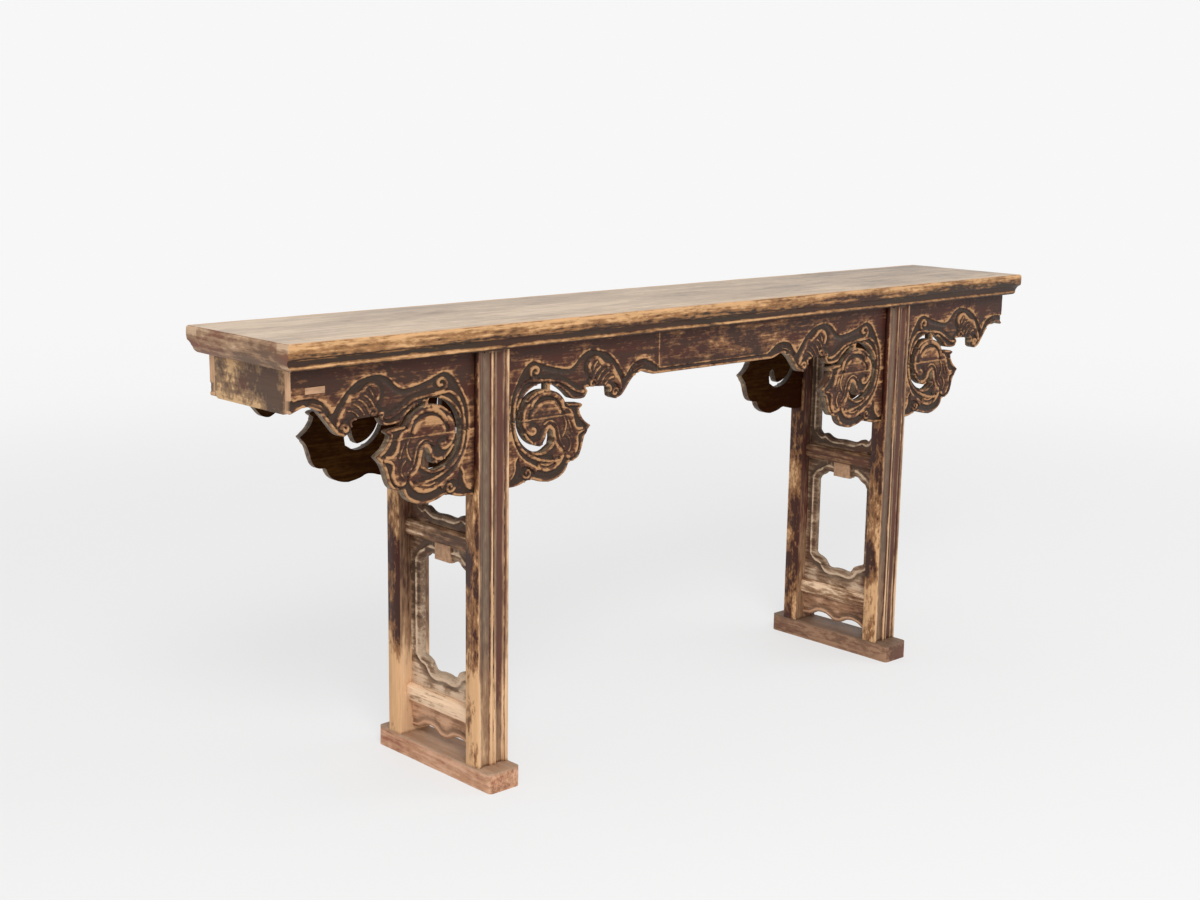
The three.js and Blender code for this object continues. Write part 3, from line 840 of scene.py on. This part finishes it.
# Boards of the two long sides, seen from the front or from behind
FRONT, BEHIND = 1, -1
APRON_ENDS = (-APRON_END, APRON_END)
board_materials = [carved_lacquer, back_brown, end_grain, sawn_wall]
for node, seen_from, seed, extra in (
    ("apron_front_left", FRONT, 1, joint_rub),
    ("apron_front_right", FRONT, 4, joint_rub),
    ("apron_back", BEHIND, 7, plain),
):
    low, high = box_mm(node)
    x0, x1 = sorted((seen_from * low.x, seen_from * high.x))
    lines = clipped(left_lines + right_lines + [straight_line], on_apron(x0, x1))
    carved_board("carved_" + node, node, (0, -seen_from, 0), lines, carved_edge, seam_rub(extra),
                 board_materials, seed, end_faces=APRON_ENDS, wall_material=WALL)

for node, seen_from, seed in (
    ("spandrel_front_left", FRONT, 2),
    ("spandrel_front_right", FRONT, 5),
    ("spandrel_back_left", BEHIND, 8),
    ("spandrel_back_right", BEHIND, 11),
):
    low, high = box_mm(node)
    lines = clipped(left_lines if seen_from * (low.x + high.x) < 0 else right_lines, on_spandrel)
    carved_board("carved_" + node, node, (0, -seen_from, 0), lines, carved_edge, seam_rub(plain),
                 board_materials, seed, wall_material=WALL)


# Linings of the trestles

# Heights between which the wood goes from pale to dark
PALE_FADES = (130, 310)
LINING_INSET = 13
UPPER_LINING_INSET = 8
FOOT_APRON_INSET = 6


def low_down(z):
    return 1 - smooth_step(*PALE_FADES, z)


def lining_rub(left):
    """Pale low down, more so on the left trestle."""
    return lambda planar: 0.1 + (0.5 if left else 0.22) * low_down(planar[:, 1])


def cusped_edge(rail_level, half):
    """Only the cut edge of a lining board, not its sides or where it meets a rail or a stile."""
    def test(a, b, run, rise):
        under_stile = abs(rise) < 0.01 and abs(a) > half - 30
        return abs(a) < half - 0.5 and abs(b - rail_level) > 0.5 and not under_stile
    return test


def inner_edge(level):
    """Only the edge that faces the window."""
    return lambda a, b, run, rise: abs(run) < 0.01 and abs(a - level) < 0.5


for side in ("left", "right"):
    rub = lining_rub(side == "left")
    for board, rail_above, inset in (
        ("lining_top", True, LINING_INSET),
        ("lining_bottom", False, LINING_INSET),
        ("upper_lining_bottom", False, UPPER_LINING_INSET),
        ("foot_apron", True, FOOT_APRON_INSET),
    ):
        node = f"{side}_{board}"
        low, high = box_mm(node)
        is_free = cusped_edge(high.z if rail_above else low.z, high.y)
        material = foot_apron_tan if board == "foot_apron" else lining_lacquer
        carved_board("worn_" + node, node, (-1, 0, 0), [], is_free, rub, [material],
                     lip_inset=inset, two_sided=True)
    for board, inset in (("lining", LINING_INSET), ("upper_lining", UPPER_LINING_INSET)):
        for end in ("front", "back"):
            node = f"{side}_{board}_{end}"
            low, high = box_mm(node)
            is_free = inner_edge(-(high.y if end == "front" else low.y))
            carved_board("worn_" + node, node, (-1, 0, 0), [], is_free, rub, [lining_lacquer],
                         lip_inset=inset, two_sided=True)


# Plain members, each a copy of its solid dressed in edit mode

hand_planed = bpy.data.textures.new("hand_planed", "CLOUDS")
hand_planed.noise_scale = 0.045
hand_planed.noise_depth = 2

# Points this near to the level of a face count as lying on it
SKIN = 1.5


def start_edit(piece):
    bpy.ops.object.select_all(action="DESELECT")
    piece.select_set(True)
    bpy.context.view_layer.objects.active = piece
    bpy.ops.object.mode_set(mode="EDIT")
    bpy.ops.mesh.select_mode(type="EDGE")
    bpy.ops.mesh.select_all(action="SELECT")


def cut_across(cuts):
    for axis, levels in cuts.items():
        normal = Vector([axis == letter for letter in "XYZ"])
        for level in levels:
            bpy.ops.mesh.select_all(action="SELECT")
            bpy.ops.mesh.bisect(plane_co=normal * level * MM, plane_no=normal)


def bevelled(offset, steps, corner):
    bpy.ops.mesh.select_all(action="DESELECT")
    bpy.ops.mesh.edges_select_sharp(sharpness=math.radians(corner))
    bpy.ops.mesh.bevel(
        offset=offset * MM, segments=steps, profile=0.6, affect="EDGES", clamp_overlap=True,
    )


def finish_dressing(piece, materials, coats, rough, sharp, pick):
    """Ends edit mode, roughens the faces, and lays wear and dirt or dust on the piece."""
    bpy.ops.mesh.select_all(action="SELECT")
    bpy.ops.mesh.quads_convert_to_tris()
    bpy.ops.object.mode_set(mode="OBJECT")
    if rough:
        planing = piece.modifiers.new("planing", "DISPLACE")
        planing.texture = hand_planed
        planing.texture_coords = "LOCAL"
        planing.strength = rough * MM
        bpy.ops.object.modifier_apply(modifier="planing")
    data = piece.data
    data.materials.clear()
    for material in materials:
        data.materials.append(material)
    for polygon in data.polygons:
        polygon.material_index = pick(polygon.normal)
    pairs = [coats(vertex.co / MM) for vertex in data.vertices]
    for label, values in zip(("wear", "groove"), zip(*pairs)):
        layer = data.attributes.new(label, "FLOAT", "POINT").data
        layer.foreach_set("value", [float(value) for value in values])
    bpy.ops.object.shade_smooth_by_angle(angle=math.radians(sharp))
    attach(piece, "root")


def first_material(normal):
    return 0


def dressed(
    node, materials, slot, coats, cuts,
    bevel=0.8, steps=2, rough=0.5, sharp=28, corner=40, pick=first_material,
):
    """A worn copy of a solid: softened arrises, cross cuts, hand-planed faces and wear by place."""
    piece = bpy.data.objects.new("worn_" + node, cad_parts[node].data.copy())
    bpy.context.scene.collection.objects.link(piece)
    start_edit(piece)
    bpy.ops.mesh.remove_doubles(threshold=1e-6)
    bpy.ops.mesh.dissolve_limited(angle_limit=math.radians(0.5))
    if bevel:
        bevelled(bevel, steps, corner)
    cut_across(cuts)
    finish_dressing(piece, materials, coats, rough, sharp, pick)
    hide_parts(node)


def arris_wear(low, high, reach, strength, ground):
    """Wear that falls away from the arrises of a squared member."""
    def coats(place):
        gaps = sorted(min(abs(place[i] - low[i]), abs(place[i] - high[i])) for i in range(3))
        return ground(place) + strength * max(0.0, 1 - gaps[1] / reach), 0.0
    return coats


def even_cuts(low, high, spans, inset=0):
    """Levels of the cross cuts: one an inset from each face, and the rest evenly spaced."""
    cuts = {}
    for i, axis in enumerate("XYZ"):
        a, b = low[i], high[i]
        levels = [a + inset, b - inset] if inset else []
        cuts[axis] = levels + [a + (b - a) * k / spans[i] for k in range(1, spans[i])]
    return cuts


def even_ground(level):
    return lambda place: level


def squared(node, material, slot, spans, reach, strength, ground, **dressing):
    """A squared member of one material, worn along its arrises."""
    low, high = box_mm(node)
    coats = arris_wear(low, high, reach, strength, ground)
    dressed(node, [material], slot, coats, even_cuts(low, high, spans), **dressing)


# Trestles

REED_DEPTH = 7.0

# Across a leg's face, from its left arris to its right: place, wear, dust
REED_COATS = [
    (-36, 0.8, 0.0), (-34.4, 0.74, 0.0), (-31.5, 0.4, 0.3), (-28.5, 0.3, 0.5), (-26, 0.1, 0.2),
    (-25.3, 0.14, 0.3), (-22.5, 0.3, 0.8), (-15, 0.3, 0.8), (-9.5, 0.2, 0.5), (-7.6, 0.1, 0.2),
    (-6.8, 0.5, 0.1), (-4, 0.9, 0.0), (-1.2, 0.66, 0.1), (0, 0.1, 0.2), (1.2, 0.42, 0.5),
    (4, 0.52, 0.5), (6.8, 0.36, 0.5), (7.6, 0.08, 0.1), (20.5, 0.04, 0.1), (22.5, 0.46, 0.3),
    (25.3, 0.5, 0.3), (26, 0.12, 0.2), (28.5, 0.56, 0.1), (31.5, 0.8, 0.0), (36, 0.78, 0.0),
]
REED_PLACES, REED_WEAR, REED_DUST = zip(*REED_COATS)

# How far the legs are bare low down: left trestle or right, front leg or back
BARE_FEET = {(True, True): 0.46, (True, False): 0.54, (False, True): 0.28, (False, False): 0.12}


def leg_coats(place):
    """Wear and dust by reed on the face, and even wear on the cheeks; darker high up."""
    left, front = place.x < 0, place.y < 0
    bare = BARE_FEET[left, front] * low_down(place.z)
    dark = 0.12 * smooth_step(520, 760, place.z) + (0.0 if left else 0.07)
    outward = LEG_FACE - abs(place.y)
    across = place.x + TRESTLE_X if left else place.x - TRESTLE_X
    if outward < REED_DEPTH and abs(across) < LEG_HALF - 0.5:
        from_left = across if front else -across
        wear = np.interp(from_left, REED_PLACES, REED_WEAR)
        dust = np.interp(from_left, REED_PLACES, REED_DUST)
        return wear + bare - dark * 0.6, dust * max(0.0, 1 - 2.1 * bare)
    arris = 0.16 * max(0.0, 1 - outward / 12)
    return 0.47 + bare + arris - dark, 0.0


def by_cheek(normal):
    return 1 if abs(normal.x) > 0.7 else 0


def end_board_ground(place):
    """Barer towards the back and low down."""
    return 0.42 + 0.0013 * place.y + 0.12 * (1 - smooth_step(715, 765, place.z))


def foot_coats(low, high):
    """Rubbed arrises, darker ends and a dusty top."""
    rubbed = arris_wear(low, high, reach=11, strength=0.3, ground=even_ground(0.3))

    def coats(place):
        end_face = abs(place.y) > high.y - 2
        return rubbed(place)[0] - 0.25 * end_face, 0.8 if place.z > FOOT_TOP - SKIN else 0.0
    return coats


LEG_CUTS = {"Z": list(np.linspace(FOOT_TOP + 6, UNDERSIDE - 3, 30))}
HIDDEN_WEAR = 0.3

for side, foot_wood, low_rail_wear in (("left", foot_red, 0.98), ("right", foot_brown, 0.6)):
    for end in ("front", "back"):
        dressed(f"{side}_leg_{end}", [leg_lacquer, leg_cheek], "leg_wood", leg_coats, LEG_CUTS,
                bevel=0, sharp=50, pick=by_cheek)
    low, high = box_mm(f"{side}_foot")
    cuts = even_cuts(low, high, (2, 16, 2), inset=6.5)
    dressed(f"{side}_foot", [foot_wood], "foot_wood", foot_coats(low, high), cuts,
            bevel=5.0, steps=3, rough=1.1, sharp=50)
    for rail, wear in (("rail_lower", low_rail_wear), ("rail_upper", 0.46)):
        squared(f"{side}_{rail}", rail_lacquer, "lining", (2, 12, 2), reach=14, strength=0.12,
                ground=even_ground(wear), rough=1.2, corner=28, sharp=34)
    squared(f"{side}_rail_head", back_brown, "inner_wood", (2, 6, 2), reach=6, strength=0.1,
            ground=even_ground(HIDDEN_WEAR))
    squared(f"end_board_{side}", end_board_worn, "end_board", (1, 10, 4), reach=10, strength=0.14,
            ground=end_board_ground, bevel=1.0)


# The top

# Down the moulded edge: drop below the top, wear
EDGE_COATS = [
    (1.5, 0.95), (4, 0.84), (10, 0.66), (17, 0.52), (24, 0.38), (24.5, 0.2), (27, 0.42),
    (27.5, 0.04), (37, 0.0), (37.5, 0.4), (39.5, 0.72), (43.5, 0.5), (44.5, 0.06),
]
EDGE_DROPS, EDGE_WEAR = zip(*EDGE_COATS)
STILE_CUT_END = 985
STILE_CUTS = 71
STILE_DROPS = (4, 10, 17)
STILE_INSETS = (4, 16)


def by_face_up(normal):
    return 0 if normal.z > 0.9 else 1


def by_face_up_or_end(normal):
    return 2 if abs(normal.x) > 0.6 else by_face_up(normal)


def top_ground(place):
    """Greyer towards the right end and the back: painted sheen, the grey cast the far end takes at a
    grazing angle.
    """
    return 0.44 - 0.13 * place.x / APRON_END - 0.05 * place.y / APRON_FACE


def moulding_coats(place):
    """Bare and honey brown at the upper arris, then down the moulding band by band."""
    drop = TABLE_TOP - place.z
    if drop < SKIN:
        from_front = STILE_FRONT - abs(place.y)
        return max(top_ground(place), 0.9 - from_front / 12), max(0.0, 1 - from_front / 16)
    to_the_right = 0.1 * place.x / APRON_END
    return np.interp(drop, EDGE_DROPS, EDGE_WEAR) - to_the_right, 0.0


def cap_coats(place):
    """Barer at the upper arris and darker below."""
    drop = TABLE_TOP - place.z
    if drop < SKIN:
        return top_ground(place), 0.0
    return 0.44 + (0.2 if drop < 5 else 0.0) - (0.14 if drop > 30 else 0.0), 0.0


def panel_coats(place):
    return top_ground(place), 0.0


for edge in ("front", "back"):
    node = f"top_{edge}_stile"
    low, high = box_mm(node)
    cuts = {
        "X": list(np.linspace(-STILE_CUT_END, STILE_CUT_END, STILE_CUTS)),
        "Y": [level for inset in STILE_INSETS for level in (low.y + inset, high.y - inset)],
        "Z": [TABLE_TOP - drop for drop in STILE_DROPS],
    }
    dressed(node, [top_scrubbed, edge_honey, cap_brown], "edge_wood", moulding_coats, cuts,
            bevel=0.6, corner=42, sharp=35, rough=0.9, pick=by_face_up_or_end)
for side in ("left", "right"):
    node = f"top_{side}_cap"
    low, high = box_mm(node)
    cuts = even_cuts(low, high, (1, 12, 2), inset=4)
    dressed(node, [top_scrubbed, cap_brown], "cap_wood", cap_coats, cuts,
            bevel=0.4, sharp=35, rough=0.8, pick=by_face_up)

low, high = box_mm("top_panel")
dressed("top_panel", [top_scrubbed, back_brown], "top_wood", panel_coats,
        even_cuts(low, high, (24, 6, 1)), bevel=0.3, pick=by_face_up)
for place_name in ("left_trestle", "left", "middle", "right", "right_trestle"):
    squared("batten_" + place_name, back_brown, "inner_wood", (2, 6, 1), reach=5, strength=0.1,
            ground=even_ground(HIDDEN_WEAR))


# Small repairs let into the old wood

BLOCK_WEAR = 0.3
LINING_BLOCK = (45, 32)
LINING_BLOCK_DROP = 16.5
LINING_BLOCK_PROUD = 1.5
APRON_BLOCK = (38, 4, 11)
APRON_BLOCK_MIDDLE = (-941, -APRON_FACE + 1.2, 767.5)


def let_in_block(name, middle, size):
    """A block of pale wood, in millimetres."""
    bpy.ops.mesh.primitive_cube_add(size=1, location=Vector(middle) * MM)
    piece = bpy.context.active_object
    piece.name = name
    piece.scale = Vector(size) * MM
    bpy.ops.object.transform_apply(location=True, rotation=True, scale=True)
    start_edit(piece)
    bevelled(0.5, 2, 40)
    low = [middle[i] - size[i] / 2 for i in range(3)]
    high = [middle[i] + size[i] / 2 for i in range(3)]
    coats = arris_wear(low, high, reach=4, strength=0.15, ground=even_ground(BLOCK_WEAR))
    finish_dressing(piece, [pale_block], coats, 0.3, 28, first_material)


for side in ("left", "right"):
    low, high = box_mm(f"{side}_lining_top")
    middle = ((low.x + high.x) / 2, 0, high.z - LINING_BLOCK_DROP)
    size = (high.x - low.x + 2 * LINING_BLOCK_PROUD, *LINING_BLOCK)
    let_in_block(f"repair_{side}_lining", middle, size)
let_in_block("repair_left_apron", APRON_BLOCK_MIDDLE, APRON_BLOCK)


# Stage, light and camera

FLOOR_SIZE = 600
FLOOR_PALE = rgb(243, 243, 243)
WALL_PALE = rgb(247, 247, 247)
FLOOR_EVENNESS = 0.62
# Distances from the table, in metres, over which the floor loses its shading and takes the
# tone of the wall
SHADING_FADES = (1.7, 4.5)
TONE_FADES = (1.7, 7.0)
SKY_STRENGTH = 0.64
LAMP_TARGET = (0, 0, 0.5)


def camera_seen(tree):
    """1 where the camera, a mirror or glass looks, 0 for plain light."""
    path = add_node(tree, "LightPath", {})
    seen = calc(tree, "MAXIMUM", path.outputs["Is Camera Ray"], path.outputs["Is Glossy Ray"])
    return calc(tree, "MAXIMUM", seen, path.outputs["Is Transmission Ray"])


def pale_floor():
    """A matt floor that keeps the table's shadow and fades into the wall."""
    material = bpy.data.materials.new("pale_floor")
    material.use_nodes = True
    tree = material.node_tree
    shader = tree.nodes["Principled BSDF"]
    shader.inputs["Base Color"].default_value = FLOOR_PALE
    shader.inputs["Roughness"].default_value = 0.9
    shader.inputs["Specular IOR Level"].default_value = 0.0
    place = add_node(tree, "TexCoord", {}).outputs["Object"]
    reach = add_node(tree, "VectorMath", {0: place}, operation="LENGTH").outputs["Value"]
    evenness = ramp(tree, reach, *SHADING_FADES, FLOOR_EVENNESS, 1.0)
    paleness = blend(tree, ramp(tree, reach, *TONE_FADES), FLOOR_PALE, WALL_PALE)
    glow = add_node(tree, "Emission", {"Color": paleness, "Strength": 1.0})
    share = calc(tree, "MULTIPLY", camera_seen(tree), evenness)
    mix = add_node(tree, "MixShader", {0: share, 1: shader.outputs[0], 2: glow.outputs[0]})
    tree.links.new(mix.outputs[0], tree.nodes["Material Output"].inputs[0])
    return material


bpy.ops.mesh.primitive_plane_add(size=FLOOR_SIZE, location=(0, 0, 0))
floor = bpy.context.active_object
floor.name = "floor"
floor.data.materials.append(pale_floor())

world = bpy.data.worlds.new("studio")
bpy.context.scene.world = world
world.use_nodes = True
world_tree = world.node_tree
soft_sky = world_tree.nodes["Background"]
soft_sky.inputs[0].default_value = (1, 1, 1, 1)
soft_sky.inputs[1].default_value = SKY_STRENGTH
backdrop = add_node(world_tree, "Background", {0: WALL_PALE, 1: 1.0})
world_inputs = {0: camera_seen(world_tree), 1: soft_sky.outputs[0], 2: backdrop.outputs[0]}
world_mix = add_node(world_tree, "MixShader", world_inputs)
world_tree.links.new(world_mix.outputs[0], world_tree.nodes["World Output"].inputs[0])


def soft_lamp(name, place, size, watts):
    """A square lamp that points at the middle of the table."""
    light = bpy.data.lights.new(name, "AREA")
    light.shape = "RECTANGLE"
    light.size = size
    light.size_y = size
    light.energy = watts
    lamp = bpy.data.objects.new(name, light)
    lamp.location = place
    aim = Vector(LAMP_TARGET) - Vector(place)
    lamp.rotation_euler = aim.to_track_quat("-Z", "Y").to_euler()
    bpy.context.scene.collection.objects.link(lamp)


soft_lamp("key", place=(-2.4, -3.2, 3.6), size=1.8, watts=124)
soft_lamp("fill", place=(3.6, -2.2, 2.6), size=2.6, watts=30)

forward = Vector((
    math.sin(CAMERA_YAW) * math.cos(CAMERA_PITCH),
    math.cos(CAMERA_YAW) * math.cos(CAMERA_PITCH),
    -math.sin(CAMERA_PITCH),
))
level_right = Vector((math.cos(CAMERA_YAW), -math.sin(CAMERA_YAW), 0))
level_up = level_right.cross(forward)
right = level_right * math.cos(CAMERA_ROLL) + level_up * math.sin(CAMERA_ROLL)
up = level_up * math.cos(CAMERA_ROLL) - level_right * math.sin(CAMERA_ROLL)
camera_data = bpy.data.cameras.new("camera")
camera_data.sensor_width = 36
camera_data.lens = CAMERA_LENS
camera = bpy.data.objects.new("camera", camera_data)
turn = Matrix((right, up, -forward)).transposed().to_4x4()
camera.matrix_world = Matrix.Translation(CAMERA_PLACE) @ turn
bpy.context.scene.collection.objects.link(camera)
bpy.context.scene.camera = camera
bpy.context.scene.view_settings.view_transform = "Standard"
